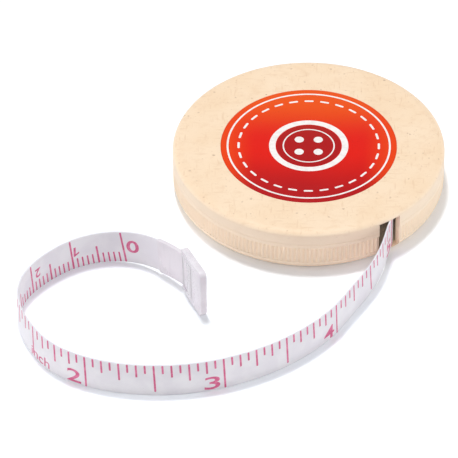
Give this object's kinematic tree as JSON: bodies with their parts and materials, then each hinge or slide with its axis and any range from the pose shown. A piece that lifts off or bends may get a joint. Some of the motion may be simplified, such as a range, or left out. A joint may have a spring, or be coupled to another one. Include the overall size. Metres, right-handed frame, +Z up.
{
  "type": "tape measure",
  "caption": "Flat round retractable tape measure with ribbed grip band, spring reel, push-button brake, rim slot and a tape loop ending in a pull tab.",
  "frame": {"origin": "middle of the case's underside, on the reel's axis", "axes": "+Z up through the case and along the reel's axis, -Y the way the tape leaves the slot, +X towards the slot's side"},
  "size_m": [0.0774, 0.0845, 0.0101],
  "materials": {
    "straw_plastic": "satin, speckled with straw fibres",
    "dark_plastic": "moulded",
    "print": "printed, glossy",
    "tape_white": "coated fibreglass, satin",
    "tab_plastic": "semi-gloss, slightly translucent",
    "steel": "spring steel",
    "rubber": "matt"
  },
  "bodies": {
    "case": {"base_cover": "straw_plastic", "top_cover": "straw_plastic", "printed_disc": "print", "mainspring": "steel", "button_spring": "steel"},
    "reel": {"spool": "straw_plastic", "tape_coil": "tape_white", "tape_rivet": "steel", "spring_cover": "steel"},
    "tape_run": {"tape": "tape_white", "end_tab": "tab_plastic"},
    "brake": {"brake_disc": "dark_plastic", "friction_ring": "rubber"},
    "button": {"push_button": "straw_plastic"}
  },
  "joints": [
    {"name": "reel_spin", "type": "hinge", "parent": "case", "child": "reel", "pos_m": [0, 0, 0.00455], "axis": [0, 0, -1], "range_deg": [0, 44.3], "deforming": ["mainspring"]},
    {"name": "tape_pull", "type": "slide", "parent": "case", "child": "tape_run", "axis": [0, -1, 0], "range_m": [0, 0.012]},
    {"name": "button_press", "type": "slide", "parent": "case", "child": "button", "axis": [0, 0, 1], "range_m": [0, 0.001], "stiffness_N_per_m": 150, "springref_m": -0.002},
    {"name": "brake_lift", "type": "slide", "parent": "case", "child": "brake", "axis": [0, 0, 1], "range_m": [0, 0.001], "deforming": ["button_spring"]}
  ],
  "couplings": [
    {"joint": "tape_pull", "follows": "reel_spin", "m_per_rad": 0.0155},
    {"joint": "brake_lift", "follows": "button_press", "ratio": 1}
  ]
}
